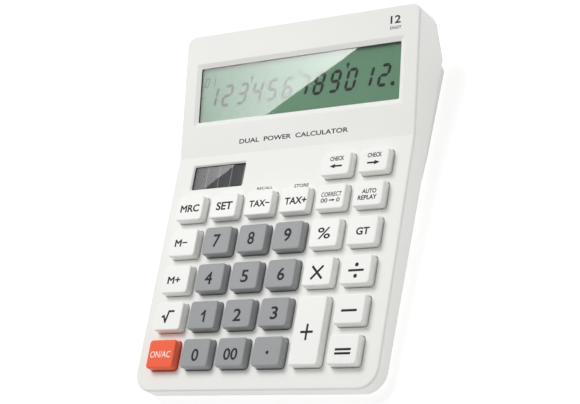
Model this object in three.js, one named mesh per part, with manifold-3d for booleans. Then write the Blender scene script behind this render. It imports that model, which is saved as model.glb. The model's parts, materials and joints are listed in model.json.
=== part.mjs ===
// Desk calculator with a tilted display deck, solar strip and thirty-one keys.
// Millimetres, +Z up, +Y away from the user. Everything hangs in a "panel" frame whose
// XY plane is the flat key panel: its origin is the front edge of the nearest key row,
// on the centre line, and the whole panel leans back on the desk by deskTilt.

import * as THREE from 'three'
import * as BufferGeometryUtils from 'three/addons/utils/BufferGeometryUtils.js'
import Module from 'manifold-3d'

const wasm = await Module()
wasm.setup()

// Key layout
const columnPitch = 23
const rowPitch = 20.8
const firstColumn = -58
const keyWidth = 17.9
const digitKeyDepth = 15.6
const functionKeyDepth = 13.9
const checkKeyDepth = 12.9
const functionRowFront = 83.2
const checkRowFront = 101.9
const keyRise = 4.65
const keyTravel = 1.8
const keyBevel = 0.8
const keyCornerRadius = 1.8
const keyGap = 0.4
const openingCornerRadius = 1.4
const flangeLip = 1
const flangeThickness = 0.9
const capWall = 1.4
const plungerRadius = 2.4

// Casing
const wall = 2
const gap = 0.3
const faceHalfWidth = 75.35
const edgeRound = 1.2
const faceFront = -10.05
const creaseY = 122.5
const deckTilt = THREE.MathUtils.degToRad(10.8)
const deckLength = 69.2
const frontCornerRadius = 11
const rearCornerRadius = 5.5
const partingFront = -8.4
const partingSlope = 0.0361
const rearChamferStart = 172
const rearChamferEnd = -1.6

// Rear cover
const coverInset = 2.4
const coverDepth = 1.8
const coverWall = 1.6
const rampStart = 80
const rampEnd = 118
const humpEnd = 168
const lip = 2.5
const doorLedgeHalfWidth = 34
const doorLedgeTop = -16.6

// Desk and feet
const deskTilt = THREE.MathUtils.degToRad(4)
const footHeight = 1.6
const footSink = 0.6
const footRadius = 5
const frontFootY = 6
const deskAtFrontFoot = -12.5

// Display and solar windows, measured along the deck from the crease and on the panel
const windowWidth = 136.4
const windowFront = 17.3
const windowBack = 53.6
const windowRim = 2.7
const rimThickness = 1.2
const lensThickness = 1
const lcdThickness = 1.8
const reflectorThickness = 0.3
const holderThickness = 1
const solarLeft = -64.9
const solarRight = -28.5
const solarFront = 102.5
const solarBack = 117.7
const solarRim = 0.8
const solarRimThickness = 1
const solarLensThickness = 0.8
const solarCellThickness = 1
const lcdWidth = 135.6
const lcdDepth = 37.2
const holderWidth = 139.4
const holderDepth = 42

// Electronics
const keypadTop = -5.8
const keypadThickness = 0.8
const domeTop = -3.5
const boardTop = -6.9
const boardThickness = 1.2
const boardHalfWidth = 66.4
const boardFront = -1.6
const boardBack = 126.4
const keypadBack = 99.6
const tongueLeft = 18
const tongueBack = 116
const ribbonHalfWidth = 20
const ribbonThickness = 0.3
const wireRadius = 0.4
const wireLead = [[-34, -4.6], [-27, -4.9], [-22, -5.9], [-17, -6.45]]
const positiveLeadY = 112
const negativeLeadY = 107

// Battery bay, for one AAA cell lying across the hump
const cellRadius = 5.2
const cellLength = 43.5
const cellNub = 1
const bayHalfLength = 28
const bayWall = 1.4
const bayFront = 141
const bayBack = 154.6
const bayTop = -6.4
const cellHeight = -13.1
const doorHalfWidth = 31
const doorFront = 136
const doorThickness = 1.6
const contactPlateThickness = 0.5
const contactSlotWidth = 1.1
const contactReachHalfWidth = 1.2
const contactReachFront = 121
const contactFront = 143.8
const contactBack = 151.8
const springTurns = 3.5
const springWireRadius = 0.35
const springLength = 5.7
const springRadiusBack = 3.7
const springRadiusTip = 2.4

// Fasteners
const bossRadius = 2.1
const pilotRadius = 1.2
const counterboreRadius = 2.7
const counterboreDepth = 1.4
const screwHeadRadius = 2.2
const screwHeadThickness = 1
const screwShankRadius = 0.9
const screwLength = 5.5
const crossLength = 2.6
const crossWidth = 0.5
const screwPlaces = {
  front_left: [-60, -4.6],
  front_right: [60, -4.6],
  middle_left: [-70.1, 59.55],
  middle_right: [70.1, 59.55],
  rear_left: [-66, 130.2],
  rear_right: [66, 130.2],
}
const footPlaces = {
  front_left: [-62, frontFootY],
  front_right: [62, frontFootY],
  rear_left: [-62, 158],
  rear_right: [62, 158],
}

const materials = {
  whitePlastic: new THREE.MeshStandardMaterial({ color: 0xefefec, roughness: 0.45 }),
  coverPlastic: new THREE.MeshStandardMaterial({ color: 0xe9e9e5, roughness: 0.55 }),
  whiteKey: new THREE.MeshStandardMaterial({ color: 0xf4f4f1, roughness: 0.4 }),
  greyKey: new THREE.MeshStandardMaterial({ color: 0x9b9ea1, roughness: 0.45 }),
  clearKey: new THREE.MeshStandardMaterial({ color: 0xf0603c, roughness: 0.4 }),
  clearLens: new THREE.MeshStandardMaterial({ color: 0xdfe8e4, roughness: 0.05 }),
  lcdGlass: new THREE.MeshStandardMaterial({ color: 0x7d9a86, roughness: 0.15 }),
  reflector: new THREE.MeshStandardMaterial({ color: 0xb9c7bd, roughness: 0.35 }),
  solarCell: new THREE.MeshStandardMaterial({ color: 0x2a2427, roughness: 0.2 }),
  rubber: new THREE.MeshStandardMaterial({ color: 0x8c9094, roughness: 0.8 }),
  darkRubber: new THREE.MeshStandardMaterial({ color: 0x55585a, roughness: 0.85 }),
  circuitBoard: new THREE.MeshStandardMaterial({ color: 0x2f6a45, roughness: 0.5 }),
  epoxy: new THREE.MeshStandardMaterial({ color: 0x17181a, roughness: 0.3 }),
  steel: new THREE.MeshStandardMaterial({ color: 0xb9bbbd, roughness: 0.3, metalness: 1 }),
  ribbon: new THREE.MeshStandardMaterial({ color: 0xc79a4c, roughness: 0.5 }),
  redWire: new THREE.MeshStandardMaterial({ color: 0xb3302a, roughness: 0.5 }),
  blackWire: new THREE.MeshStandardMaterial({ color: 0x202224, roughness: 0.5 }),
  cellWrap: new THREE.MeshStandardMaterial({ color: 0x3d6f8f, roughness: 0.35 }),
}

const calculator = new THREE.Group()
const panel = new THREE.Group()
const deck = new THREE.Group()
calculator.add(panel)
panel.add(deck)
deck.position.set(0, creaseY, 0)
deck.rotation.x = deckTilt

// Turns a closed geometry into a manifold solid for joining and cutting.
function solid(geometry) {
  const bare = geometry.clone()
  bare.deleteAttribute('normal')
  bare.deleteAttribute('uv')
  const merged = BufferGeometryUtils.mergeVertices(bare, 1e-4)
  const triVerts = new Uint32Array(merged.index.array)
  const vertProperties = new Float32Array(merged.attributes.position.array)
  return new wasm.Manifold(new wasm.Mesh({ numProp: 3, vertProperties, triVerts }))
}

function geometryOf(body) {
  const mesh = body.getMesh()
  const geometry = new THREE.BufferGeometry()
  geometry.setAttribute('position', new THREE.BufferAttribute(mesh.vertProperties, 3))
  geometry.setIndex(new THREE.BufferAttribute(mesh.triVerts, 1))
  geometry.computeVertexNormals()
  return geometry
}

function cut(body, tools) {
  return tools.reduce((rest, tool) => rest.subtract(tool), body)
}

function join(bodies) {
  return bodies.reduce((sum, body) => sum.add(body))
}

function addPart(parent, name, material, geometry, position = [0, 0, 0]) {
  const part = new THREE.Mesh(geometry, material)
  part.name = name
  part.position.set(...position)
  parent.add(part)
  return part
}

// A rectangle with rounded corners, centred on the given point.
function roundedRectangle(width, depth, radius, x = 0, y = 0, rearRadius = radius) {
  const shape = new THREE.Shape()
  const [left, right, front, back] = [x - width / 2, x + width / 2, y - depth / 2, y + depth / 2]
  shape.moveTo(left + radius, front)
  shape.lineTo(right - radius, front)
  shape.absarc(right - radius, front + radius, radius, -Math.PI / 2, 0)
  shape.lineTo(right, back - rearRadius)
  shape.absarc(right - rearRadius, back - rearRadius, rearRadius, 0, Math.PI / 2)
  shape.lineTo(left + rearRadius, back)
  shape.absarc(left + rearRadius, back - rearRadius, rearRadius, Math.PI / 2, Math.PI)
  shape.lineTo(left, front + radius)
  shape.absarc(left + radius, front + radius, radius, Math.PI, Math.PI * 1.5)
  return shape
}

// A straight prism standing on z = low and ending at z = high.
function prism(shape, low, high, curveSegments = 3) {
  const geometry = new THREE.ExtrudeGeometry(shape, {
    depth: high - low,
    bevelEnabled: false,
    curveSegments,
  })
  return geometry.translate(0, 0, low)
}

function box(left, right, front, back, low, high) {
  const geometry = new THREE.BoxGeometry(right - left, back - front, high - low)
  return geometry.translate((left + right) / 2, (front + back) / 2, (low + high) / 2)
}

// An upright cylinder or cone from z = low to z = high.
function post(x, y, low, high, radiusLow, radiusHigh = radiusLow, sides = 12) {
  const geometry = new THREE.CylinderGeometry(radiusHigh, radiusLow, high - low, sides)
  return geometry.rotateX(Math.PI / 2).translate(x, y, (low + high) / 2)
}

// A side profile of [y, z] points, extruded across the given half width.
function acrossProfile(points, halfWidth) {
  const shape = new THREE.Shape(points.map(([y, z]) => new THREE.Vector2(y, z)))
  const geometry = new THREE.ExtrudeGeometry(shape, { depth: halfWidth * 2, bevelEnabled: false })
  const turn = new THREE.Matrix4().makeBasis(
    new THREE.Vector3(0, 1, 0),
    new THREE.Vector3(0, 0, 1),
    new THREE.Vector3(1, 0, 0),
  )
  return geometry.applyMatrix4(turn).translate(-halfWidth, 0, 0)
}

function onDeck(geometry) {
  return geometry.rotateX(deckTilt).translate(0, creaseY, 0)
}

const partingAt = (y) => partingFront - partingSlope * (y - faceFront)
const deskAt = (y) => deskAtFrontFoot - Math.tan(deskTilt) * (y - frontFootY)
const deckBackY = creaseY + deckLength * Math.cos(deckTilt)
const deckBackZ = deckLength * Math.sin(deckTilt)
const contactMiddle = bayHalfLength - bayWall - contactSlotWidth / 2
const wallHalfWidth = faceHalfWidth + edgeRound
const wallFront = faceFront - edgeRound
const wallBack = deckBackY + edgeRound

function planOutline(inset) {
  const width = 2 * (wallHalfWidth - inset)
  const depth = wallBack - wallFront - 2 * inset
  const middle = (wallFront + wallBack) / 2
  const [frontRadius, rearRadius] = [frontCornerRadius - inset, rearCornerRadius - inset]
  return roundedRectangle(width, depth, frontRadius, 0, middle, rearRadius)
}

// Every key: its node name, column, front edge, depth and material.
const [bottomRow, lowRow, middleRow, topRow] = [0, 1, 2, 3].map((row) => row * rowPitch)
const tallKeyDepth = rowPitch + digitKeyDepth
const keys = [
  ['key_on_all_clear', 0, bottomRow, digitKeyDepth, 'clearKey'],
  ['key_0', 1, bottomRow, digitKeyDepth, 'greyKey'],
  ['key_00', 2, bottomRow, digitKeyDepth, 'greyKey'],
  ['key_point', 3, bottomRow, digitKeyDepth, 'greyKey'],
  ['key_plus', 4, bottomRow, tallKeyDepth, 'whiteKey'],
  ['key_equals', 5, bottomRow, digitKeyDepth, 'whiteKey'],
  ['key_square_root', 0, lowRow, digitKeyDepth, 'whiteKey'],
  ['key_1', 1, lowRow, digitKeyDepth, 'greyKey'],
  ['key_2', 2, lowRow, digitKeyDepth, 'greyKey'],
  ['key_3', 3, lowRow, digitKeyDepth, 'greyKey'],
  ['key_minus', 5, lowRow, digitKeyDepth, 'whiteKey'],
  ['key_memory_plus', 0, middleRow, digitKeyDepth, 'whiteKey'],
  ['key_4', 1, middleRow, digitKeyDepth, 'greyKey'],
  ['key_5', 2, middleRow, digitKeyDepth, 'greyKey'],
  ['key_6', 3, middleRow, digitKeyDepth, 'greyKey'],
  ['key_multiply', 4, middleRow, digitKeyDepth, 'whiteKey'],
  ['key_divide', 5, middleRow, digitKeyDepth, 'whiteKey'],
  ['key_memory_minus', 0, topRow, digitKeyDepth, 'whiteKey'],
  ['key_7', 1, topRow, digitKeyDepth, 'greyKey'],
  ['key_8', 2, topRow, digitKeyDepth, 'greyKey'],
  ['key_9', 3, topRow, digitKeyDepth, 'greyKey'],
  ['key_percent', 4, topRow, digitKeyDepth, 'whiteKey'],
  ['key_grand_total', 5, topRow, digitKeyDepth, 'whiteKey'],
  ['key_memory_recall', 0, functionRowFront, functionKeyDepth, 'whiteKey'],
  ['key_set', 1, functionRowFront, functionKeyDepth, 'whiteKey'],
  ['key_tax_minus', 2, functionRowFront, functionKeyDepth, 'whiteKey'],
  ['key_tax_plus', 3, functionRowFront, functionKeyDepth, 'whiteKey'],
  ['key_correct', 4, functionRowFront, functionKeyDepth, 'whiteKey'],
  ['key_auto_replay', 5, functionRowFront, functionKeyDepth, 'whiteKey'],
  ['key_check_back', 4, checkRowFront, checkKeyDepth, 'whiteKey'],
  ['key_check_forward', 5, checkRowFront, checkKeyDepth, 'whiteKey'],
].map(([name, column, front, depth, material]) => ({
  name,
  x: firstColumn + column * columnPitch,
  y: front + depth / 2,
  depth,
  material,
}))

// A cap bevelled round its top, hollow below, with a retaining flange and a plunger.
function keyCap(depth) {
  const flangeTop = -wall - gap
  const flangeBottom = flangeTop - flangeThickness
  const outline = roundedRectangle(
    keyWidth - 2 * keyBevel,
    depth - 2 * keyBevel,
    keyCornerRadius - keyBevel,
  )
  const cap = new THREE.ExtrudeGeometry(outline, {
    depth: keyRise - flangeBottom - 2 * keyBevel,
    bevelThickness: keyBevel,
    bevelSize: keyBevel,
    bevelSegments: 1,
    curveSegments: 2,
  }).translate(0, 0, flangeBottom + keyBevel)
  const [halfWidth, halfDepth] = [keyWidth / 2, depth / 2]
  const flange = box(
    -halfWidth - flangeLip,
    halfWidth + flangeLip,
    -halfDepth - flangeLip,
    halfDepth + flangeLip,
    flangeBottom,
    flangeTop,
  )
  const hollow = box(
    -halfWidth + capWall,
    halfWidth - capWall,
    -halfDepth + capWall,
    halfDepth - capWall,
    flangeBottom - 1,
    keyRise - capWall,
  )
  const plungerTop = keyRise - capWall / 2
  const plunger = post(0, 0, flangeBottom, plungerTop, plungerRadius, plungerRadius, 8)
  return geometryOf(solid(cap).add(solid(flange)).subtract(solid(hollow)).add(solid(plunger)))
}

function keyOpening(key) {
  const opening = roundedRectangle(
    keyWidth + 2 * keyGap,
    key.depth + 2 * keyGap,
    openingCornerRadius,
    key.x,
    key.y,
  )
  return solid(prism(opening, -wall - 1, 1, 1))
}

// Ceiling of the casing above a point of the panel frame, taken inside its wall.
const ceilingAt = (y) => Math.max(0, (y - creaseY) * Math.tan(deckTilt)) - wall / 2

// Underside of the rear cover: shallow, then a ramp, then a hump parallel to the desk.
function coverFloorAt(y) {
  const humpAt = (at) => deskAt(at) + footHeight
  const shallowAt = (at) => partingAt(at) - coverDepth
  if (y < rampStart) return shallowAt(y)
  if (y > rampEnd) return humpAt(y)
  const share = (y - rampStart) / (rampEnd - rampStart)
  return THREE.MathUtils.lerp(shallowAt(rampStart), humpAt(rampEnd), share)
}

function windowShape(inset) {
  const middle = (windowFront + windowBack) / 2
  return roundedRectangle(
    windowWidth - 2 * inset,
    windowBack - windowFront - 2 * inset,
    1,
    0,
    middle,
  )
}

function solarShape(inset) {
  return roundedRectangle(
    solarRight - solarLeft - 2 * inset,
    solarBack - solarFront - 2 * inset,
    1,
    (solarLeft + solarRight) / 2,
    (solarFront + solarBack) / 2,
  )
}

function frontCasing() {
  const below = -30
  const outside = [
    [wallFront, partingAt(wallFront)],
    [wallFront, -edgeRound],
    [faceFront, 0],
    [creaseY, 0],
    [deckBackY, deckBackZ],
    [wallBack, deckBackZ - edgeRound],
    [wallBack, rearChamferEnd],
    [rearChamferStart, partingAt(rearChamferStart)],
  ]
  const inside = [
    [wallFront + wall, below],
    [wallFront + wall, -wall],
    [creaseY, -wall],
    [wallBack - wall, (wallBack - wall - creaseY) * Math.tan(deckTilt) - wall],
    [wallBack - wall, below],
  ]
  const shell = solid(acrossProfile(outside, wallHalfWidth))
    .intersect(solid(prism(planOutline(0), below, 30, 6)))
  const hollow = solid(acrossProfile(inside, wallHalfWidth - wall))
    .intersect(solid(prism(planOutline(wall), below, 30, 6)))
  const bosses = Object.values(screwPlaces).map(([x, y]) =>
    solid(post(x, y, coverFloorAt(y) + wall + gap, ceilingAt(y), bossRadius)))
  const pilots = Object.values(screwPlaces).map(([x, y]) =>
    solid(post(x, y, coverFloorAt(y), coverFloorAt(y) + screwLength + wall, pilotRadius)))
  return geometryOf(cut(join([shell.subtract(hollow), ...bosses]), [
    ...keys.map(keyOpening),
    ...pilots,
    solid(onDeck(prism(windowShape(0), -5, -rimThickness))),
    solid(onDeck(prism(windowShape(windowRim), -5, 3))),
    solid(prism(solarShape(0), -4, -solarRimThickness)),
    solid(prism(solarShape(solarRim), -4, 1)),
  ]))
}

// A flat plate flush with the hump's underside. Its recess runs out through the hump's end.
function doorPlate(clearance) {
  const plate = box(
    -doorHalfWidth - clearance,
    doorHalfWidth + clearance,
    -clearance,
    humpEnd - doorFront + 6 * clearance,
    -clearance,
    doorThickness + clearance,
  )
  return plate.rotateX(-deskTilt).translate(0, doorFront, coverFloorAt(doorFront))
}

function rearCover() {
  const start = wallFront + coverInset
  const end = wallBack - coverInset - 1
  const outside = [
    [start, partingAt(start) + lip],
    [start, partingAt(start)],
    [start + 1, coverFloorAt(start + 1)],
    [rampStart, coverFloorAt(rampStart)],
    [rampEnd, coverFloorAt(rampEnd)],
    [humpEnd, coverFloorAt(humpEnd)],
    [rearChamferStart, partingAt(rearChamferStart) - gap],
    [end, rearChamferEnd - 2.4],
    [end, rearChamferEnd + 1],
    [rearChamferStart, partingAt(rearChamferStart) + lip],
  ]
  const inside = [
    [start + coverWall, 0],
    [start + coverWall, coverFloorAt(start + coverWall) + wall],
    [rampStart, coverFloorAt(rampStart) + wall],
    [rampEnd, coverFloorAt(rampEnd) + wall],
    [humpEnd - wall, coverFloorAt(humpEnd - wall) + wall],
    [rearChamferStart, partingAt(rearChamferStart) + bayWall],
    [end - 1, rearChamferEnd],
    [end - 1, 0],
  ]
  const halfWidth = wallHalfWidth - coverInset
  const tray = solid(acrossProfile(outside, halfWidth))
    .intersect(solid(prism(planOutline(coverInset), -40, 20, 6)))
  const hollow = solid(acrossProfile(inside, halfWidth - coverWall))
    .intersect(solid(prism(planOutline(coverInset + coverWall), -40, 20, 6)))
  const doorLedge = solid(box(
    -doorLedgeHalfWidth,
    doorLedgeHalfWidth,
    doorFront - 3,
    humpEnd - 2,
    -24,
    doorLedgeTop,
  )).intersect(tray)
  const bay = solid(box(-bayHalfLength, bayHalfLength, bayFront, bayBack, -18, bayTop))
  const bayHollow = solid(box(
    -bayHalfLength + bayWall,
    bayHalfLength - bayWall,
    bayFront + bayWall,
    bayBack - bayWall,
    -30,
    bayTop - bayWall,
  ))
  const contactSlots = [-1, 1].map((side) => {
    const middle = side * contactMiddle
    const halfWidth = contactSlotWidth / 2
    const [front, back] = [contactFront - 0.4, contactBack + 0.4]
    return solid(box(middle - halfWidth, middle + halfWidth, front, back, bayTop - 2.6, 0))
  })
  const footRecesses = Object.values(footPlaces).map(([x, y]) => {
    const recess = post(0, 0, 0, footHeight + footSink, footRadius + gap, footRadius + gap, 20)
    return solid(recess.rotateX(-deskTilt).translate(x, y, deskAt(y)))
  })
  const screwHoles = Object.values(screwPlaces).flatMap(([x, y]) => {
    const floor = coverFloorAt(y)
    return [
      solid(post(x, y, floor - 1, floor + counterboreDepth, counterboreRadius)),
      solid(post(x, y, floor, floor + wall + 1, pilotRadius)),
    ]
  })
  return geometryOf(cut(join([tray.subtract(hollow), doorLedge, bay]), [
    bayHollow,
    solid(doorPlate(gap)),
    ...contactSlots,
    ...footRecesses,
    ...screwHoles,
  ]))
}

// A pan-head screw standing head down, with a cross recess in its head.
function screw() {
  const head = solid(post(0, 0, 0, screwHeadThickness, screwHeadRadius * 0.85, screwHeadRadius))
  const shank = solid(post(0, 0, 0.5, screwHeadThickness + screwLength, screwShankRadius, 0.6, 8))
  const slots = [
    box(-crossLength / 2, crossLength / 2, -crossWidth / 2, crossWidth / 2, -1, 0.5),
    box(-crossWidth / 2, crossWidth / 2, -crossLength / 2, crossLength / 2, -1, 0.5),
  ]
  return geometryOf(cut(head.add(shank), slots.map(solid)))
}

function foot() {
  const height = footHeight + footSink - gap
  const profile = [
    [0, 0],
    [footRadius - 0.5, 0],
    [footRadius, 0.5],
    [footRadius, height],
    [0, height],
  ]
  const points = profile.map(([radius, z]) => new THREE.Vector2(radius, z))
  return new THREE.LatheGeometry(points, 20).rotateX(Math.PI / 2)
}

function rubberKeypad() {
  const high = keypadTop
  const low = keypadTop - keypadThickness
  const main = solid(box(-boardHalfWidth, boardHalfWidth, boardFront, keypadBack, low, high))
  const tongue = solid(box(tongueLeft, boardHalfWidth, keypadBack - 1, tongueBack, low, high))
  const domes = keys.map((key) => solid(post(key.x, key.y, high - 0.4, domeTop, 3.6, 2.3, 6)))
  const hollows = keys.map((key) => solid(post(key.x, key.y, low - 0.5, domeTop - 1, 2.8, 1.6, 4)))
  return geometryOf(cut(join([main, tongue, ...domes]), hollows))
}

function mainBoard() {
  const plate = solid(box(
    -boardHalfWidth,
    boardHalfWidth,
    boardFront,
    boardBack,
    boardTop - boardThickness,
    boardTop,
  ))
  return geometryOf(plate)
}

function chipCover() {
  const profile = [[0, 0], [7, 0], [6.2, -1.1], [3.6, -1.8], [0, -2]]
  const points = profile.map(([radius, z]) => new THREE.Vector2(radius, z)).reverse()
  return new THREE.LatheGeometry(points, 16).rotateX(Math.PI / 2)
}

function capacitor() {
  return new THREE.CylinderGeometry(2.5, 2.5, 11, 14).rotateZ(Math.PI / 2)
}

function ribbonCable() {
  const above = [[138.6, -1.6], [134, -2.4], [129, -4.4], [125, -6.1], [118.5, -6.3]]
  const under = above.map(([y, z]) => [y, z - ribbonThickness]).reverse()
  return acrossProfile([...above, ...under], ribbonHalfWidth)
}

// A solar lead from the cell down to the board; it drifts back a little on its way.
function solarLead(y) {
  const points = wireLead.map(([x, z], i) => new THREE.Vector3(x, y + Math.min(1, i * 0.4), z))
  const path = new THREE.CatmullRomCurve3(points)
  const section = new THREE.Shape().absarc(0, 0, wireRadius, 0, Math.PI * 2)
  return new THREE.ExtrudeGeometry(section, { steps: 10, curveSegments: 3, extrudePath: path })
}

// An AAA cell lying along X, its positive nub to the right.
function cell() {
  const profile = [
    [0, 0],
    [cellRadius, 0],
    [cellRadius, cellLength],
    [1.9, cellLength],
    [1.9, cellLength + cellNub],
    [0, cellLength + cellNub],
  ]
  const points = profile.map(([radius, along]) => new THREE.Vector2(radius, along))
  return new THREE.LatheGeometry(points, 24).rotateZ(-Math.PI / 2)
}

class ConeHelix extends THREE.Curve {
  getPoint(t) {
    const angle = t * Math.PI * 2 * springTurns
    const radius = THREE.MathUtils.lerp(springRadiusBack, springRadiusTip, t)
    return new THREE.Vector3(t * springLength, radius * Math.cos(angle), radius * Math.sin(angle))
  }
}

// A stamped strip that drops through the bay's slot and reaches forward over the board.
function contactStrip(side) {
  const middle = side * contactMiddle
  const [left, right] = [-1, 1].map((way) => middle + way * contactPlateThickness / 2)
  const top = bayTop + gap + contactPlateThickness
  const plate = box(left, right, contactFront, contactBack, cellHeight - 4, top)
  const reach = box(
    middle - contactReachHalfWidth,
    middle + contactReachHalfWidth,
    contactReachFront,
    contactBack,
    bayTop + gap,
    top,
  )
  return solid(plate).add(solid(reach))
}

function springContact() {
  const section = new THREE.Shape().absarc(0, 0, springWireRadius, 0, Math.PI * 2)
  const coil = new THREE.ExtrudeGeometry(section, {
    steps: 44,
    curveSegments: 3,
    extrudePath: new ConeHelix(),
  })
  const start = -bayHalfLength + bayWall + 0.6
  coil.translate(start, (bayFront + bayBack) / 2, cellHeight)
  return geometryOf(contactStrip(-1).add(solid(coil)))
}

// Shells and covers
addPart(panel, 'front_casing', materials.whitePlastic, frontCasing())
addPart(panel, 'rear_cover', materials.coverPlastic, rearCover())
addPart(panel, 'battery_door', materials.coverPlastic, doorPlate(0))

// Display stack, in the deck's own frame
const lensTop = -rimThickness - gap
const lcdTop = lensTop - lensThickness - gap
const reflectorTop = lcdTop - lcdThickness - gap
const holderTop = reflectorTop - reflectorThickness - gap
const windowMiddle = (windowFront + windowBack) / 2
const lcdShape = roundedRectangle(lcdWidth, lcdDepth, 0.4, 0, windowMiddle)
const holderShape = roundedRectangle(holderWidth, holderDepth, 1, 0, windowMiddle)
addPart(
  deck,
  'display_window',
  materials.clearLens,
  prism(windowShape(gap), lensTop - lensThickness, lensTop),
)
addPart(deck, 'lcd_panel', materials.lcdGlass, prism(lcdShape, lcdTop - lcdThickness, lcdTop))
addPart(
  deck,
  'lcd_reflector',
  materials.reflector,
  prism(lcdShape, reflectorTop - reflectorThickness, reflectorTop),
)
addPart(
  deck,
  'lcd_holder',
  materials.whitePlastic,
  prism(holderShape, holderTop - holderThickness, holderTop),
)

// Solar strip
const solarLensTop = -solarRimThickness - gap
const solarCellTop = solarLensTop - solarLensThickness - gap
addPart(
  panel,
  'solar_window',
  materials.clearLens,
  prism(solarShape(gap), solarLensTop - solarLensThickness, solarLensTop),
)
addPart(
  panel,
  'solar_cell',
  materials.solarCell,
  prism(solarShape(0.2), solarCellTop - solarCellThickness, solarCellTop),
)

// Electronics
addPart(panel, 'main_board', materials.circuitBoard, mainBoard())
addPart(panel, 'rubber_keypad', materials.rubber, rubberKeypad())
addPart(panel, 'chip_cover', materials.epoxy, chipCover(), [-12, 112, boardTop - boardThickness - gap])
addPart(panel, 'capacitor', materials.blackWire, capacitor(), [30, 114, -11.2])
addPart(panel, 'lcd_ribbon', materials.ribbon, ribbonCable())
addPart(panel, 'solar_lead_positive', materials.redWire, solarLead(positiveLeadY))
addPart(panel, 'solar_lead_negative', materials.blackWire, solarLead(negativeLeadY))

// Battery and its contacts
addPart(panel, 'battery', materials.cellWrap, cell(), [-19.2, (bayFront + bayBack) / 2, cellHeight])
addPart(panel, 'battery_contact_positive', materials.steel, geometryOf(contactStrip(1)))
addPart(panel, 'battery_contact_spring', materials.steel, springContact())

// Fasteners and feet
for (const [place, [x, y]] of Object.entries(screwPlaces)) {
  addPart(panel, `case_screw_${place}`, materials.steel, screw(), [x, y, coverFloorAt(y) + 0.1])
}
for (const [place, [x, y]] of Object.entries(footPlaces)) {
  const part = addPart(panel, `foot_${place}`, materials.darkRubber, foot(), [x, y, deskAt(y)])
  part.rotation.x = -deskTilt
}

// Keys, one mesh each, in their openings
for (const key of keys) {
  addPart(panel, key.name, materials[key.material], keyCap(key.depth), [key.x, key.y, 0])
}

// Stand the calculator on its feet, centred on its own footprint.
panel.rotation.x = deskTilt
calculator.updateMatrixWorld(true)
const bounds = new THREE.Box3().setFromObject(calculator, true)
const middle = bounds.getCenter(new THREE.Vector3())
panel.position.set(-middle.x, -middle.y, -bounds.min.z)

export default calculator
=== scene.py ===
# %% [markdown]
# A desk calculator: a white moulded case with a tilted display deck, thirty-one push keys, a solar
# strip and a screen. The frame holds every part at its real size and place, so this lesson only
# makes the surfaces. Each cell makes one kind of piece and says why it is made that way.

import json
import math

import bmesh
import bpy
from mathutils import Matrix, Vector


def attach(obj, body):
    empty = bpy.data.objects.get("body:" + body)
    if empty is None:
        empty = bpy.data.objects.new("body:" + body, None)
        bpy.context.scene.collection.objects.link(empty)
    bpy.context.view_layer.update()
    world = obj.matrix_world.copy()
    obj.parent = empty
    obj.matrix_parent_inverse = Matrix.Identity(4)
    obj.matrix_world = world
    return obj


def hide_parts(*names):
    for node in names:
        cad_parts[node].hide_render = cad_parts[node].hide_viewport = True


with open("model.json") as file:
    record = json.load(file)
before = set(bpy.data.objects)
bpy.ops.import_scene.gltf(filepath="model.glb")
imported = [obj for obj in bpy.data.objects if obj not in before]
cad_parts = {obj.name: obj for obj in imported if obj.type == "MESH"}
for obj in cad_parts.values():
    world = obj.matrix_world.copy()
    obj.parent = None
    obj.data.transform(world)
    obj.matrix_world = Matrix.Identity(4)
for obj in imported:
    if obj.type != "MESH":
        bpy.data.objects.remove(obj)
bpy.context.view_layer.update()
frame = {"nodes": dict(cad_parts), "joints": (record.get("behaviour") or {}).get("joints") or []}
MM = 0.001
bpy.context.scene.view_settings.view_transform = "Standard"

# %% [markdown]
# The key panel leans back on the desk and the display deck leans back a little more. Everything on
# them is easier to draw flat, so two matrices carry flat drawings to where they belong. The lean
# comes from a key's own sliding axis, and the origin from a key's box.

# %% Find the panel's and the deck's own frames
KEY_RISE = 4.65 * MM
FLANGE_LIP = 1.0 * MM
CREASE = 122.5 * MM
DECK_TILT = math.radians(10.8)


def corners_of(mesh, to_flat=Matrix.Identity(4)):
    """Lowest and highest corner of a mesh, measured after a matrix has laid it flat."""
    points = [to_flat @ v.co for v in mesh.vertices]
    low = Vector(min(p[i] for p in points) for i in range(3))
    high = Vector(max(p[i] for p in points) for i in range(3))
    return low, high


def span(node, place):
    """Corners of a CAD node, measured along the axes of a placing matrix."""
    return corners_of(frame["nodes"][node].data, place.inverted())


joints = {joint["name"]: joint for joint in frame["joints"]}
key_axis = Vector(joints["press_7"]["axis"])
key_lean = math.atan2(-key_axis.y, key_axis.z)
LEAN = Matrix.Rotation(key_lean, 4, "X")
front_key_low, front_key_high = span("key_0", LEAN)
panel_origin = Vector((0, front_key_low.y + FLANGE_LIP, front_key_high.z - KEY_RISE))
PANEL = LEAN @ Matrix.Translation(panel_origin)
DECK = PANEL @ Matrix.Translation((0, CREASE, 0)) @ Matrix.Rotation(DECK_TILT, 4, "X")
KEY_WIDTH = front_key_high.x - front_key_low.x - 2 * FLANGE_LIP
print("panel leans", round(math.degrees(key_lean), 2), "degrees")

# %% [markdown]
# Small tools for modelling by hand in edit mode. An operator acts on whatever is selected, so each
# one starts by deselecting, and faces and edges are picked by a test on their place or normal.
# Places within NEAR count as one, SLIVER is the shortest edge kept, and CLEAR is how far a cutter
# reaches past the surface that it cuts.

# %% Tools for selecting
NEAR = 0.01 * MM
FACING = 0.99


def looks_up(face):
    return face.normal.z > FACING


def looks_down(face):
    return face.normal.z < -FACING


def is_upright(edge):
    along = edge.verts[0].co - edge.verts[1].co
    return abs(along.z) > FACING * along.length


def select_only(piece):
    if bpy.context.mode != "OBJECT":
        bpy.ops.object.mode_set(mode="OBJECT")
    bpy.ops.object.select_all(action="DESELECT")
    piece.select_set(True)
    bpy.context.view_layer.objects.active = piece


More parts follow.
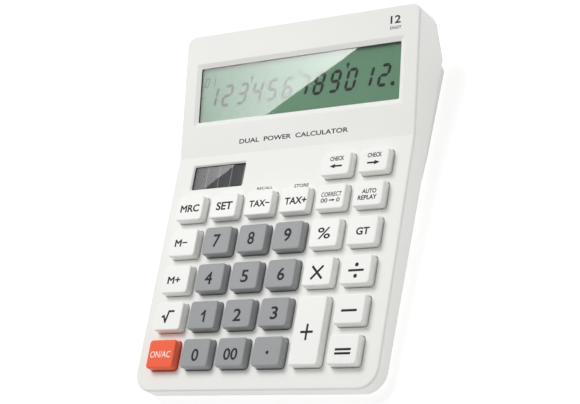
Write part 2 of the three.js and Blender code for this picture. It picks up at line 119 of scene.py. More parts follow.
def edit(piece, kind="FACE"):
    select_only(piece)
    bpy.ops.object.mode_set(mode="EDIT")
    bpy.ops.mesh.select_mode(type=kind)
    bpy.ops.mesh.select_all(action="DESELECT")


def pick(piece, kind, test):
    """Selects the vertices, edges or faces that pass the test, and says how many they are."""
    bpy.ops.mesh.select_mode(type=kind)
    bpy.ops.mesh.select_all(action="DESELECT")
    mesh = bmesh.from_edit_mesh(piece.data)
    parts = {"VERT": mesh.verts, "EDGE": mesh.edges, "FACE": mesh.faces}[kind]
    count = 0
    for part in parts:
        if test(part):
            part.select_set(True)
            count += 1
    mesh.select_flush_mode()
    bmesh.update_edit_mesh(piece.data)
    return count


def leave_edit(piece):
    bpy.ops.object.mode_set(mode="OBJECT")
    select_only(piece)


# %% Tools for starting a shape
def box(name, low, high):
    """A box between two corners, at the origin of its own frame."""
    bpy.ops.object.select_all(action="DESELECT")
    low, high = Vector(low), Vector(high)
    bpy.ops.mesh.primitive_cube_add(size=1, location=(low + high) / 2)
    piece = bpy.context.object
    piece.name = name
    piece.scale = high - low
    bpy.ops.object.transform_apply(location=True, rotation=True, scale=True)
    return piece


def disc(name, radius, low, high, sides=32, x=0.0, y=0.0):
    bpy.ops.object.select_all(action="DESELECT")
    middle = (x, y, (low + high) / 2)
    bpy.ops.mesh.primitive_cylinder_add(
        vertices=sides, radius=radius, depth=high - low, location=middle
    )
    piece = bpy.context.object
    piece.name = name
    bpy.ops.object.transform_apply(location=True, rotation=True, scale=True)
    return piece


def copy_of(master):
    """A copy that has its own mesh."""
    copy = master.copy()
    copy.data = master.data.copy()
    bpy.context.scene.collection.objects.link(copy)
    return copy


# %% Tools for shaping
SLIVER = 0.002 * MM
CLEAR = 1 * MM


def extrude_by(z, x=0):
    bpy.ops.mesh.extrude_region_move(TRANSFORM_OT_translate={"value": (x, 0, z)})


def resize_about(x_factor, y_factor, z, x=0, y=0):
    bpy.ops.transform.resize(value=(x_factor, y_factor, 1), center_override=(x, y, z))


def delete_faces(piece, test):
    edit(piece)
    count = pick(piece, "FACE", test)
    bpy.ops.mesh.delete(type="FACE")
    leave_edit(piece)
    return count


def round_edges(piece, test, radius, segments=4):
    edit(piece, "EDGE")
    pick(piece, "EDGE", test)
    bpy.ops.mesh.bevel(offset=radius, segments=segments, profile=0.5, affect="EDGES")
    leave_edit(piece)


def apply_modifier(piece, kind, **settings):
    select_only(piece)
    modifier = piece.modifiers.new(kind.lower(), kind)
    for name, value in settings.items():
        setattr(modifier, name, value)
    bpy.ops.object.modifier_apply(modifier=modifier.name)


def join_meshes(name, pieces):
    """One object that holds the meshes of several."""
    select_only(pieces[0])
    for piece in pieces[1:]:
        piece.select_set(True)
    bpy.ops.object.join()
    pieces[0].name = name
    return pieces[0]


def carve(piece, cutter, operation="DIFFERENCE"):
    """Cuts a piece or joins it to the cutter, then clears the slivers that the cut leaves."""
    apply_modifier(piece, "BOOLEAN", operation=operation, solver="EXACT", object=cutter)
    bpy.data.objects.remove(cutter)
    edit(piece, "VERT")
    bpy.ops.mesh.select_all(action="SELECT")
    bpy.ops.mesh.remove_doubles(threshold=SLIVER)
    bpy.ops.mesh.dissolve_degenerate(threshold=SLIVER)
    leave_edit(piece)


# %% Tool for finishing a piece
def finish_piece(piece, body, material, place, angle=35, weighted=True):
    """Smooths a piece, moves its mesh to its place, and lets it ride on its body."""
    select_only(piece)
    bpy.ops.object.shade_smooth_by_angle(angle=math.radians(angle))
    if weighted:
        apply_modifier(piece, "WEIGHTED_NORMAL", keep_sharp=True)
    piece.data.transform(place)
    piece.data.materials.clear()
    piece.data.materials.append(material)
    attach(piece, body)


# %% [markdown]
# Moulded, rolled and printed surfaces differ in their numbers more than in their kind: a colour
# that is never quite even, and a fine relief that breaks up the gloss. So one function makes every
# finish. One helper adds a node with its settings and links, and colours are sRGB hex values.


# %% Tools for materials
# A Mix node has several sockets of one name. These are the ones that blend colours.
MIX_FACTOR, MIX_A, MIX_B, MIX_RESULT = 0, 6, 7, 2
GLOSS_SPREAD = 0.15


def linear(hex_colour):
    """An sRGB hex colour such as "f4f4f1" as linear RGBA."""
    def channel(value):
        return value / 12.92 if value <= 0.04045 else ((value + 0.055) / 1.055) ** 2.4
    return (*[channel(int(hex_colour[i:i + 2], 16) / 255) for i in (0, 2, 4)], 1.0)


def add_node(material, kind, inputs=None, **settings):
    node = material.node_tree.nodes.new(kind)
    for name, value in settings.items():
        setattr(node, name, value)
    for name, value in (inputs or {}).items():
        if isinstance(value, bpy.types.NodeSocket):
            material.node_tree.links.new(value, node.inputs[name])
        else:
            node.inputs[name].default_value = value
    return node


def textured(name, colours, roughness, patch_mm, grain_mm, grain_height_mm,
             stretch=(1, 1, 1), **values):
    """A colour that drifts between two tones, over a fine relief that breaks up the gloss.

    Further values are set on the shader's own sockets, with _ for the spaces in their names.
    """
    material = bpy.data.materials.new(name)
    material.use_nodes = True
    principled = material.node_tree.nodes["Principled BSDF"]
    for socket, value in values.items():
        principled.inputs[socket.replace("_", " ")].default_value = value
    place = add_node(material, "ShaderNodeTexCoord").outputs["Object"]
    place = add_node(material, "ShaderNodeMapping", {"Vector": place, "Scale": stretch}).outputs[0]
    patches = add_node(
        material, "ShaderNodeTexNoise", {"Vector": place, "Scale": 1 / (patch_mm * MM)}
    ).outputs[0]
    first, second = colours
    blend = add_node(
        material, "ShaderNodeMix",
        {MIX_FACTOR: patches, MIX_A: linear(first), MIX_B: linear(second)}, data_type="RGBA",
    ).outputs[MIX_RESULT]
    grain = add_node(
        material, "ShaderNodeTexNoise",
        {"Vector": place, "Scale": 1 / (grain_mm * MM), "Detail": 2.0, "Roughness": 0.6},
    ).outputs[0]
    relief = add_node(
        material, "ShaderNodeBump", {"Height": grain, "Distance": grain_height_mm * MM}
    ).outputs["Normal"]
    gloss = add_node(
        material, "ShaderNodeMapRange",
        {
            "Value": grain,
            "To Min": roughness * (1 - GLOSS_SPREAD),
            "To Max": roughness * (1 + GLOSS_SPREAD),
        },
    ).outputs[0]
    for output, socket in ((blend, "Base Color"), (relief, "Normal"), (gloss, "Roughness")):
        material.node_tree.links.new(output, principled.inputs[socket])
    return material


# %% [markdown]
# The casing, the cover and the keys are ABS, moulded in steel tools. What the eye reads is the
# gloss: keys are satin, the casing is a little duller, and the cover has a spark-eroded grain.

# %% The plastics and the inks
# The fine eroded grain of a moulding tool keeps each plastic from looking like plain paint.
case_abs = textured("satin_white_abs", ("eeeeea", "f2f2ef"), 0.42, 25, 0.5, 0.006, IOR=1.54)
cover_abs = textured("grained_white_abs", ("e2e2dd", "e8e8e4"), 0.6, 25, 0.7, 0.03, IOR=1.54)
white_key_abs = textured("white_key_abs", ("f4f4f1", "f7f7f4"), 0.36, 25, 0.4, 0.004, IOR=1.54)
grey_key_abs = textured("grey_key_abs", ("9a9c9e", "9ea0a2"), 0.4, 25, 0.4, 0.004, IOR=1.54)
orange_key_abs = textured(
    "orange_red_key_abs", ("f45f38", "f7653f"), 0.38, 25, 0.4, 0.004, IOR=1.54
)
# Pad-printed ink is slightly uneven where the pad lifted off.
black_ink = textured("black_pad_print_ink", ("131517", "1b1d1f"), 0.5, 2, 0.3, 0.003, IOR=1.5)
white_ink = textured("off_white_pad_print_ink", ("f5ece2", "f9f2ea"), 0.5, 2, 0.3, 0.003, IOR=1.5)
print("finishes so far:", len(bpy.data.materials))

# %% [markdown]
# The camera looks down on the keys from the user's right and is rolled, so that the calculator
# stands nearly upright in the view though it lies on a desk. Its lens is a short telephoto, which
# keeps the far end of the case from shrinking much.

# %% Camera
AIM = Vector((6.71, -0.22, 20.0)) * MM
VIEW_TURN = math.radians(-55.80)
VIEW_DROP = math.radians(45.55)
VIEW_ROLL = math.radians(51.30)
VIEW_DISTANCE = 919.5 * MM
LENS = 109.6
SENSOR = 36.0

look = Vector((
    math.sin(VIEW_TURN) * math.cos(VIEW_DROP),
    math.cos(VIEW_TURN) * math.cos(VIEW_DROP),
    -math.sin(VIEW_DROP),
))
camera_data = bpy.data.cameras.new("camera")
camera_data.lens = LENS
camera_data.sensor_width = SENSOR
camera = bpy.data.objects.new("camera", camera_data)
bpy.context.scene.collection.objects.link(camera)
level = look.to_track_quat("-Z", "Y").to_matrix().to_4x4()
camera.matrix_world = (
    Matrix.Translation(AIM - look * VIEW_DISTANCE) @ level @ Matrix.Rotation(-VIEW_ROLL, 4, "Z")
)
bpy.context.scene.camera = camera
eye = camera.matrix_world.translation
print("camera stands", round((eye - AIM).length, 3), "m from its aim")

# %% [markdown]
# A product like this is lit by one very large soft light behind its far left corner, in a white
# room. The keys then throw short soft shadows to the near right. Mirrored rays pass the light by,
# so that no window shows it. The floor's paint glows a little, as a floor that is lit from all
# round does, and so stays pale.

# %% Floor and light
FLOOR_SIZE = 8
FLOOR_GLOW = 0.7
ROOM_STRENGTH = 0.46
LIGHT_PLACE = Vector((-1.2, 1.4, 2.6))
LIGHT_SIZE = 1.6
LIGHT_POWER = 70

floor_material = textured(
    "pale_floor_paint", ("b0b0b0", "b6b6b6"), 0.8, 200, 2, 0.02,
    Emission_Color=linear("ffffff"), Emission_Strength=FLOOR_GLOW,
)
bpy.ops.mesh.primitive_plane_add(size=FLOOR_SIZE)
floor = bpy.context.object
floor.name = "floor"
floor.data.materials.append(floor_material)

world = bpy.data.worlds.new("white_room")
bpy.context.scene.world = world
world.use_nodes = True
background = world.node_tree.nodes["Background"]
background.inputs["Color"].default_value = linear("ffffff")
background.inputs["Strength"].default_value = ROOM_STRENGTH

light_data = bpy.data.lights.new("main_light", "AREA")
light_data.size = LIGHT_SIZE
light_data.energy = LIGHT_POWER
light = bpy.data.objects.new("main_light", light_data)
bpy.context.scene.collection.objects.link(light)
towards_object = (-LIGHT_PLACE).to_track_quat("-Z", "Y").to_matrix().to_4x4()
light.matrix_world = Matrix.Translation(LIGHT_PLACE) @ towards_object
light.visible_glossy = False
print("light stands", round(LIGHT_PLACE.length, 2), "m away")

# %% [markdown]
# A key cap is a hollow moulding. It has a rounded top edge, upright walls with round corners, a
# flange under the panel that stops it from coming out, and a plunger in the middle. It could be
# made of several primitives joined together, but one box that is bevelled, extruded and inset
# gives one clean closed skin. The four sizes are modelled once, and each key is a copy.

# %% The moulding of a key cap
KEY_CORNER = 1.8 * MM
KEY_TOP_ROUND = 0.9 * MM
PANEL_WALL = 2.0 * MM
FLANGE_TOP = -PANEL_WALL - 0.3 * MM
FLANGE_THICKNESS = 0.9 * MM
CAP_WALL = 1.4 * MM
PLUNGER_WIDTH = 4.6 * MM


def model_key_cap(depth):
    cap = box("cap", (-KEY_WIDTH / 2, -depth / 2, FLANGE_TOP), (KEY_WIDTH / 2, depth / 2, KEY_RISE))
    round_edges(cap, is_upright, KEY_CORNER, segments=8)
    top = KEY_RISE - NEAR
    round_edges(cap, lambda e: all(v.co.z > top for v in e.verts), KEY_TOP_ROUND, segments=6)
    edit(cap)
    pick(cap, "FACE", looks_down)
    extrude_by(0)
    flange = (KEY_WIDTH + 2 * FLANGE_LIP, depth + 2 * FLANGE_LIP)
    resize_about(flange[0] / KEY_WIDTH, flange[1] / depth, FLANGE_TOP)
    extrude_by(-FLANGE_THICKNESS)
    bottom = FLANGE_TOP - FLANGE_THICKNESS
    extrude_by(0)
    hollow = (KEY_WIDTH - 2 * CAP_WALL, depth - 2 * CAP_WALL)
    resize_about(hollow[0] / flange[0], hollow[1] / flange[1], bottom)
    ceiling = KEY_RISE - CAP_WALL
    extrude_by(ceiling - bottom)
    extrude_by(0)
    resize_about(PLUNGER_WIDTH / hollow[0], PLUNGER_WIDTH / hollow[1], ceiling)
    extrude_by(bottom - ceiling)
    leave_edit(cap)
    return cap


# %% A cap for every key
key_nodes = sorted(name for name in frame["nodes"] if name.startswith("key_"))
grey_keys = {"key_point", "key_00"} | {f"key_{digit}" for digit in range(10)}
key_places = {}
masters = {}
for node in key_nodes:
    low, high = span(node, PANEL)
    depth = round((high.y - low.y - 2 * FLANGE_LIP) / MM, 2)
    key_places[node] = ((low.x + high.x) / 2, (low.y + high.y) / 2)
    if depth not in masters:
        masters[depth] = model_key_cap(depth * MM)
    cap = copy_of(masters[depth])
    cap.name = f"cap_{node[4:]}"
    finish, slot = white_key_abs, "key_white"
    if node in grey_keys:
        finish, slot = grey_key_abs, "key_grey"
    if node == "key_on_all_clear":
        finish, slot = orange_key_abs, "key_orange_red"
    place = PANEL @ Matrix.Translation((*key_places[node], 0))
    finish_piece(cap, node, finish, place, angle=20)
    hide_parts(node)
for master in masters.values():
    bpy.data.objects.remove(master)
print("key caps:", len(key_nodes), "in", len(masters), "sizes")

# %% [markdown]
# The front casing is one moulding: a flat key panel, a sharp crease, the display deck, and walls
# that run down to the parting line. It could be a curve that is filled and extruded, but then the
# crease and the walls would be separate steps. A box that is cut across by bisect planes, and whose
# rings of corners are then moved to the profile, gives both at once. Rounding the four upright
# corners first and the upper rim after them keeps the rim even all the way round.

# %% The side profile
CASE_HALF_WIDTH = 76.55 * MM
CASE_FRONT = -11.25 * MM
CASE_BACK = 191.7 * MM
FRONT_CORNER = 11.0 * MM
REAR_CORNER = 5.5 * MM
RIM_ROUND = 1.2 * MM
CHAMFER_START = 172.0 * MM
CHAMFER_END = -1.6 * MM
RAMP_START = 80.0 * MM
RAMP_END = 118.0 * MM
HUMP_END = 168.0 * MM
HUMP_LEVEL = -10.9 * MM
COVER_DROP = 1.8 * MM
PARTING_LEVEL = -8.4 * MM
PARTING_START = -10.05 * MM
PARTING_SLOPE = 0.0361
FRONT_FEET = 6 * MM
REAR_FEET = 158 * MM


def parting_at(y):
    """Height of the line where the front casing meets the rear cover."""
    return PARTING_LEVEL - PARTING_SLOPE * (y - PARTING_START)


def deck_at(y):
    return max(0.0, (y - CREASE) * math.tan(DECK_TILT))


def hump_at(y):
    """The rear cover's flat underside, which stands on the feet a little above the desk."""
    return HUMP_LEVEL - math.tan(key_lean) * (y - FRONT_FEET)


def cover_floor_at(y):
    """Underside of the rear cover: shallow in front, then a ramp, then the hump."""
    if y <= RAMP_START:
        return parting_at(y) - COVER_DROP
    share = min(1, (y - RAMP_START) / (RAMP_END - RAMP_START))
    ramp_top = parting_at(RAMP_START) - COVER_DROP
    return (1 - share) * ramp_top + share * hump_at(max(y, RAMP_END))


print("case height at the crease:", round((deck_at(CREASE) - parting_at(CREASE)) / MM, 1), "mm")


# %% A block that follows a side profile
START_HEIGHT = 50 * MM
FLAT_SLOPE = 0.75
WALL_SLOPE = 0.2


def profiled_block(name, half_width, stations):
    """A block whose bottom and top pass through stations of (y, bottom, top)."""
    front, back = stations[0][0], stations[-1][0]
    block = box(name, (-half_width, front, -START_HEIGHT), (half_width, back, START_HEIGHT))
    edit(block)
    for y, _, _ in stations[1:-1]:
        bpy.ops.mesh.select_all(action="SELECT")
        bpy.ops.mesh.bisect(plane_co=(0, y, 0), plane_no=(0, 1, 0))
    for y, bottom, top in stations:
        for level, height in ((-START_HEIGHT, bottom), (START_HEIGHT, top)):
            corner = Vector((y, level))
            pick(block, "VERT", lambda v: (v.co.yz - corner).length < NEAR)
            bpy.ops.transform.translate(value=(0, 0, height - level))
    leave_edit(block)
    return block


def is_rim(edge, up):
    """True for an outer edge between a wall and a face that looks up (1) or down (-1)."""
    slopes = [face.normal.z * up for face in edge.link_faces]
    if len(slopes) != 2 or not edge.is_convex:
        return False
    return max(slopes) > FLAT_SLOPE and min(map(abs, slopes)) < WALL_SLOPE


def round_corners(block, y, radius, segments=4):
    """Rounds the two upright edges at one end of a block."""
    round_edges(
        block, lambda e: is_upright(e) and abs(e.verts[0].co.y - y) < NEAR, radius, segments
    )


# %% The front casing's shell
SLOPING = 0.5

case_stations = [
    (CASE_FRONT, parting_at(CASE_FRONT), 0),
    (CREASE, parting_at(CREASE), 0),
    (CHAMFER_START, parting_at(CHAMFER_START), deck_at(CHAMFER_START)),
    (CASE_BACK, CHAMFER_END, deck_at(CASE_BACK)),
]
casing = profiled_block("front_shell", CASE_HALF_WIDTH, case_stations)
round_corners(casing, CASE_FRONT, FRONT_CORNER, segments=14)
round_corners(casing, CASE_BACK, REAR_CORNER, segments=12)
opened = delete_faces(casing, lambda f: f.normal.z < -SLOPING)
print("open underside:", opened, "faces")
apply_modifier(casing, "SOLIDIFY", thickness=PANEL_WALL, offset=-1, use_even_offset=True)
round_edges(casing, lambda e: is_rim(e, 1), RIM_ROUND, segments=10)

# %% [markdown]
# The openings are cut last, all at once. Each key opening follows its key with a small gap and a
# broken edge, as a moulded opening has. Each window is a pocket from below that holds its lens, and
# a frame from above that slopes down to it. A boolean is the right tool here, because an opening is
# where something was taken away.

# %% Cutters for the openings
KEY_GAP = 0.4 * MM
BROKEN_EDGE = 0.3 * MM
CUTTER_BOTTOM = -5 * MM
WINDOW_CORNER = 1 * MM


def opening_cutter(name, low, high, corner, steps):
    """A closed cutter with round corners, extruded upward through (grow, z) steps."""
    cutter = box(name, low, high)
    round_edges(cutter, is_upright, corner, segments=5)
    middle = (Vector(low) + Vector(high)) / 2
    size = [high[0] - low[0], high[1] - low[1]]
    edit(cutter)
    pick(cutter, "FACE", looks_up)
    height = high[2]
    for grow, z in steps:
        extrude_by(z - height)
        wider = [side + 2 * grow for side in size]
        resize_about(wider[0] / size[0], wider[1] / size[1], z, middle.x, middle.y)
        size, height = wider, z
    leave_edit(cutter)
    return cutter


def window_cutter(name, low, high, shelf, rim, land):
    """Pocket below the shelf, a short upright land, then a frame that opens to the surface."""
    return opening_cutter(
        name, (*low, CUTTER_BOTTOM), (*high, -shelf), WINDOW_CORNER,
        [(-rim, -shelf), (0, -shelf + land), (rim, 0), (rim, shelf - land)],
    )


# %% The openings for the keys and the windows
WINDOW = ((-68.2 * MM, 17.3 * MM), (68.2 * MM, 53.6 * MM))
WINDOW_RIM = 2.7 * MM
WINDOW_SHELF = 1.2 * MM
SOLAR = ((-64.9 * MM, 102.5 * MM), (-28.5 * MM, 117.7 * MM))
SOLAR_RIM = 0.8 * MM
SOLAR_SHELF = 1.0 * MM
LAND = 0.3 * MM

cutters = []
for node in key_nodes:
    x, y = key_places[node]
    low, high = span(node, PANEL)
    half = Vector((KEY_WIDTH / 2 + KEY_GAP, (high.y - low.y) / 2 - FLANGE_LIP + KEY_GAP))
    cutters.append(opening_cutter(
        "opening",
        (x - half.x, y - half.y, CUTTER_BOTTOM), (x + half.x, y + half.y, -BROKEN_EDGE),
        KEY_CORNER + KEY_GAP, [(BROKEN_EDGE * 3, BROKEN_EDGE * 2)],
    ))
cutters.append(window_cutter("solar_frame", *SOLAR, SOLAR_SHELF, SOLAR_RIM, LAND))
display_frame = window_cutter("display_frame", *WINDOW, WINDOW_SHELF, WINDOW_RIM, LAND)
display_frame.data.transform(PANEL.inverted() @ DECK)
cutters.append(display_frame)
print("openings:", len(cutters))
carve(casing, join_meshes("openings", cutters))

# %% Screw bosses
CRISP = 10
SCREWS = [
    (x * side * MM, y * MM)
    for x, y in ((60, -4.6), (70.1, 59.55), (66, 130.2)) for side in (-1, 1)
]
BOSS_RADIUS = 2.1 * MM
BOSS_START = 2.3 * MM
BOSS_SINK = 1 * MM
PILOT_RADIUS = 1.2 * MM
PILOT_DEPTH = 7.5 * MM

for x, y in SCREWS:
    mouth, top = cover_floor_at(y), deck_at(y) - BOSS_SINK
    carve(casing, disc("boss", BOSS_RADIUS, mouth + BOSS_START, top, 24, x, y), "UNION")
    carve(casing, disc("pilot", PILOT_RADIUS, mouth, mouth + PILOT_DEPTH, 16, x, y))
finish_piece(casing, "casing", case_abs, PANEL, angle=CRISP)
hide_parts("front_casing")
print("front casing:", len(casing.data.polygons), "faces")

# %% [markdown]
# The rear cover is a shallow tray. It starts thin under the keys, ramps down, and ends in a flat
# hump that carries the battery and tips the panel towards the user. It is made as the casing was.
# Its underside is then cut for the feet, the screws and the battery door.

# %% Rear cover
COVER_INSET = 2.4 * MM
COVER_HALF_WIDTH = CASE_HALF_WIDTH - COVER_INSET
COVER_FRONT = CASE_FRONT + COVER_INSET
COVER_BACK = CASE_BACK - 3.4 * MM
COVER_WALL = 1.6 * MM
COVER_EDGE = 0.9 * MM
COVER_LIP = 2.5 * MM
REAR_LIP = 1 * MM
GAP = 0.3 * MM

cover_stations = [
    (y, cover_floor_at(y), parting_at(y) + COVER_LIP)
    for y in (COVER_FRONT, RAMP_START, RAMP_END, HUMP_END)
] + [
    (CHAMFER_START, parting_at(CHAMFER_START) - GAP, parting_at(CHAMFER_START) + COVER_LIP),
    (COVER_BACK, CHAMFER_END - COVER_INSET, CHAMFER_END + REAR_LIP),
]
cover = profiled_block("rear_tray", COVER_HALF_WIDTH, cover_stations)
round_corners(cover, COVER_FRONT, FRONT_CORNER - COVER_INSET, segments=10)
round_corners(cover, COVER_BACK, REAR_CORNER - COVER_INSET, segments=8)
delete_faces(cover, lambda f: f.normal.z > SLOPING)
apply_modifier(cover, "SOLIDIFY", thickness=COVER_WALL, offset=-1, use_even_offset=True)
round_edges(cover, lambda e: is_rim(e, -1), COVER_EDGE)
print("tray:", len(cover.data.polygons), "faces")

# %% [markdown]
# The battery bay is a box that stands in the tray, open below, and the door slides into a recess
# under it. A ledge round the recess thickens the tray where the door would cut through it.

# %% Battery bay and door recess
DOOR_HALF_WIDTH = 31 * MM
DOOR_FRONT = 136 * MM
DOOR_BACK = 168 * MM
DOOR_THICKNESS = 1.6 * MM
BAY = ((-28 * MM, 141 * MM), (28 * MM, 154.6 * MM))
BAY_TOP = -6.4 * MM
BAY_BOTTOM = -18 * MM
BAY_WALL = 1.4 * MM
WELL_BELOW = -30 * MM
LEDGE_HALF_WIDTH = 34 * MM
LEDGE_TOP = -16.6 * MM
FOOT_RADIUS = 5 * MM
FOOT_HEIGHT = 1.6 * MM
FOOT_SINK = 0.6 * MM
FEET = [(x * MM, y) for y in (FRONT_FEET, REAR_FEET) for x in (-62, 62)]


def on_desk(x, y):
    """Frame whose floor is the desk, given in the panel's frame."""
    lean_back = Matrix.Rotation(-key_lean, 4, "X")
    return Matrix.Translation((x, y, hump_at(y) - FOOT_HEIGHT)) @ lean_back


ledge_stations = [
    (y, cover_floor_at(y) + GAP, LEDGE_TOP) for y in (DOOR_FRONT - 3 * MM, DOOR_BACK - 2 * MM)
]
carve(cover, profiled_block("ledge", LEDGE_HALF_WIDTH, ledge_stations), "UNION")
carve(cover, box("bay", (*BAY[0], BAY_BOTTOM), (*BAY[1], BAY_TOP)), "UNION")
carve(cover, box(
    "bay_hollow",
    (BAY[0][0] + BAY_WALL, BAY[0][1] + BAY_WALL, WELL_BELOW),
    (BAY[1][0] - BAY_WALL, BAY[1][1] - BAY_WALL, BAY_TOP - BAY_WALL),
))
recess = box(
    "recess",
    (-DOOR_HALF_WIDTH - GAP, -GAP, FOOT_HEIGHT - 2 * MM),
    (DOOR_HALF_WIDTH + GAP, DOOR_BACK - DOOR_FRONT + 6 * GAP, FOOT_HEIGHT + DOOR_THICKNESS + GAP),
)
recess.data.transform(on_desk(0, DOOR_FRONT))
carve(cover, recess)

# %% Contact slots, foot pockets and screw holes
CONTACT_HALF = 0.55 * MM
CONTACT_FRONT = 143.4 * MM
CONTACT_BACK = 152.2 * MM
CONTACT_DROP = 2.6 * MM
BORE_RADIUS = 2.7 * MM
BORE_DEPTH = 1.4 * MM
HOLE_DEPTH = 3 * MM

cutters = []
for side in (-1, 1):
    middle = side * (BAY[1][0] - BAY_WALL - CONTACT_HALF)
    cutters.append(box(
        "contact_slot",
        (middle - CONTACT_HALF, CONTACT_FRONT, BAY_TOP - CONTACT_DROP),
        (middle + CONTACT_HALF, CONTACT_BACK, 0),
    ))
for x, y in FEET:
    pocket = disc("pocket", FOOT_RADIUS + GAP, -CLEAR, FOOT_HEIGHT + FOOT_SINK, 48)
    pocket.data.transform(on_desk(x, y))
    cutters.append(pocket)
for x, y in SCREWS:
    bore = disc("bore", BORE_RADIUS, -CLEAR, BORE_DEPTH, 32)
    edit(bore)
    pick(bore, "FACE", looks_up)
    extrude_by(0)
    resize_about(PILOT_RADIUS / BORE_RADIUS, PILOT_RADIUS / BORE_RADIUS, BORE_DEPTH)
    extrude_by(HOLE_DEPTH)
    leave_edit(bore)
    bore.data.transform(Matrix.Translation((x, y, cover_floor_at(y))))
    cutters.append(bore)
carve(cover, join_meshes("recesses", cutters))
finish_piece(cover, "casing", cover_abs, PANEL, angle=CRISP)
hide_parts("rear_cover")
print("rear cover:", len(cover.data.polygons), "faces")

# %% [markdown]
# The door is a flat plate with softened edges. A thumb needs something to push, so it has a row of
# grip grooves and an arrow head, both cut in. The grooves are one small box, copied by an array.

# %% Battery door
DOOR_CORNER = 1.2 * MM
DOOR_EDGE = 0.4 * MM
GROOVE_HALF = 8 * MM
GROOVE_START = 7 * MM
GROOVE_WIDTH = 0.9 * MM
GROOVE_DEPTH = 0.5 * MM
GROOVE_PITCH = 1.8 * MM
GROOVES = 6
ARROW_PLACE = 22 * MM
ARROW_RADIUS = 3 * MM

door = box(
    "door_plate",
    (-DOOR_HALF_WIDTH, 0, FOOT_HEIGHT),
    (DOOR_HALF_WIDTH, DOOR_BACK - DOOR_FRONT, FOOT_HEIGHT + DOOR_THICKNESS),
)
round_corners(door, 0, DOOR_CORNER)
round_edges(door, lambda e: is_rim(e, -1), DOOR_EDGE, segments=3)
below, groove_floor = FOOT_HEIGHT - CLEAR, FOOT_HEIGHT + GROOVE_DEPTH
grooves = box(
    "grooves",
    (-GROOVE_HALF, GROOVE_START, below), (GROOVE_HALF, GROOVE_START + GROOVE_WIDTH, groove_floor),
)
apply_modifier(
    grooves, "ARRAY", count=GROOVES, use_relative_offset=False, use_constant_offset=True,
    constant_offset_displace=(0, GROOVE_PITCH, 0),
)
carve(door, grooves)
carve(door, disc("arrow_head", ARROW_RADIUS, below, groove_floor, 3, 0, ARROW_PLACE))
door_place = PANEL @ on_desk(0, DOOR_FRONT)
finish_piece(door, "battery_door", cover_abs, door_place, angle=25)
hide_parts("battery_door")

# %% [markdown]
# Rubber feet are short discs with a soft rim and a slightly dished face. Screws are pan heads
# with a cross recess. Each is modelled once and copied to its places.

# %% Feet and screws
# Matt rubber with a dusty bloom.
rubber = textured("black_foot_rubber", ("3b3d3f", "4c4e50"), 0.8, 3, 0.3, 0.02, IOR=1.52)
# Bright zinc with fine turning marks round the head.
screw_steel = textured(
    "zinc_plated_steel", ("b7babd", "cbcdcf"), 0.28, 2, 0.2, 0.002, (1, 1, 6), Metallic=1.0
)


FOOT_ROUND = 0.5 * MM
FOOT_RIM = 0.6 * MM
DISH_EDGE = 0.5 * MM
DISH_DEPTH = 0.3 * MM


def at_bottom(edge):
    return all(v.co.z < NEAR for v in edge.verts)


def copy_to(master, name, place, material, node):
    copy = copy_of(master)
    copy.name = name
    finish_piece(copy, "casing", material, place, angle=30)
    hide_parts(node)


foot_master = disc("foot", FOOT_RADIUS, 0, FOOT_HEIGHT + FOOT_SINK - GAP, 48)
round_edges(foot_master, at_bottom, FOOT_ROUND)
edit(foot_master)
pick(foot_master, "FACE", looks_down)
bpy.ops.mesh.inset(thickness=FOOT_RIM, depth=0)
bpy.ops.mesh.inset(thickness=DISH_EDGE, depth=-DISH_DEPTH)
leave_edit(foot_master)
for (x, y), node in zip(FEET, ("front_left", "front_right", "rear_left", "rear_right")):
    place = PANEL @ on_desk(x, y)
    copy_to(foot_master, f"foot_pad_{node}", place, rubber, f"foot_{node}")
bpy.data.objects.remove(foot_master)
print("feet:", len(FEET))

# %% Screws
HEAD_RADIUS = 2.2 * MM
HEAD_THICKNESS = 1.0 * MM
HEAD_ROUND = 0.6 * MM
HEAD_SINK = 0.1 * MM
SHANK_RADIUS = 0.9 * MM
SHANK_LENGTH = 5 * MM
TIP_LENGTH = 0.5 * MM
CROSS_LENGTH = 2.6 * MM
CROSS_WIDTH = 0.5 * MM
CROSS_DEPTH = 0.5 * MM

screw_master = disc("screw", HEAD_RADIUS, 0, HEAD_THICKNESS, 32)
round_edges(screw_master, at_bottom, HEAD_ROUND)
edit(screw_master)
pick(screw_master, "FACE", looks_up)
shank_share = SHANK_RADIUS / HEAD_RADIUS
extrude_by(0)
resize_about(shank_share, shank_share, HEAD_THICKNESS)
extrude_by(SHANK_LENGTH)
extrude_by(TIP_LENGTH)
resize_about(0.5, 0.5, HEAD_THICKNESS + SHANK_LENGTH + TIP_LENGTH)
leave_edit(screw_master)
for across, along in ((CROSS_LENGTH, CROSS_WIDTH), (CROSS_WIDTH, CROSS_LENGTH)):
    carve(screw_master, box(
        "slot", (-across / 2, -along / 2, -CLEAR), (across / 2, along / 2, CROSS_DEPTH)
    ))
screw_names = [f"{row}_{side}" for row in ("front", "middle", "rear") for side in ("left", "right")]
for (x, y), node in zip(SCREWS, screw_names):
    place = PANEL @ Matrix.Translation((x, y, cover_floor_at(y) + HEAD_SINK))
    name = f"pan_screw_{node}"
    copy_to(screw_master, name, place, screw_steel, f"case_screw_{node}")
bpy.data.objects.remove(screw_master)
print("screws:", len(SCREWS))

# %% [markdown]
# The cell in the bay is a steel can in a printed shrink sleeve. The can's ends and its nub are
# bare metal, so the sleeve is a second, slightly larger piece round the can.

